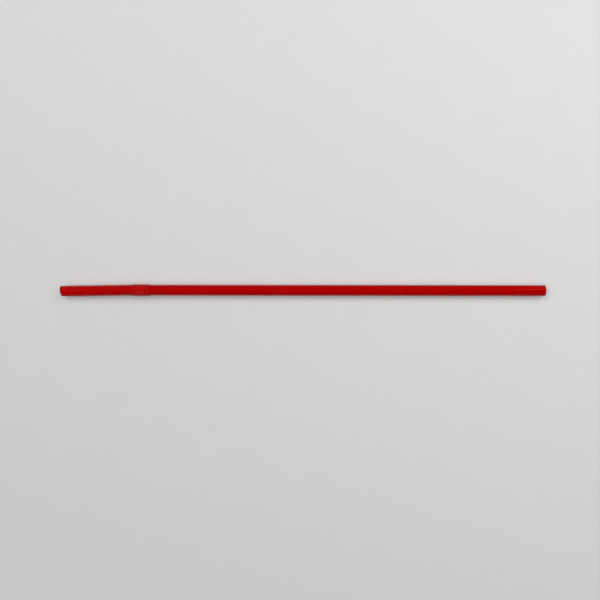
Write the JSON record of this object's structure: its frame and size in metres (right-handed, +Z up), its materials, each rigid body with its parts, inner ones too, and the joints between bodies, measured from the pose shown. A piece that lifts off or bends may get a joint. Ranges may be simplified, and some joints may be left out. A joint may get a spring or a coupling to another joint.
{
  "type": "drinking straw",
  "caption": "Flexible plastic drinking straw: a thin tube with a short mouth end, folded bellows pushed together and a long plain body, lying on its side.",
  "frame": {"origin": "on the table, under the middle of the straw's bounding box", "axes": "+X along the body towards its lower end, -Y to the side that the mouth end leans to, +Z up from the table"},
  "size_m": [0.27, 0.007, 0.0067],
  "materials": {
    "red_plastic": "gloss"
  },
  "bodies": {
    "root": {"straw": "red_plastic"}
  },
  "joints": []
}
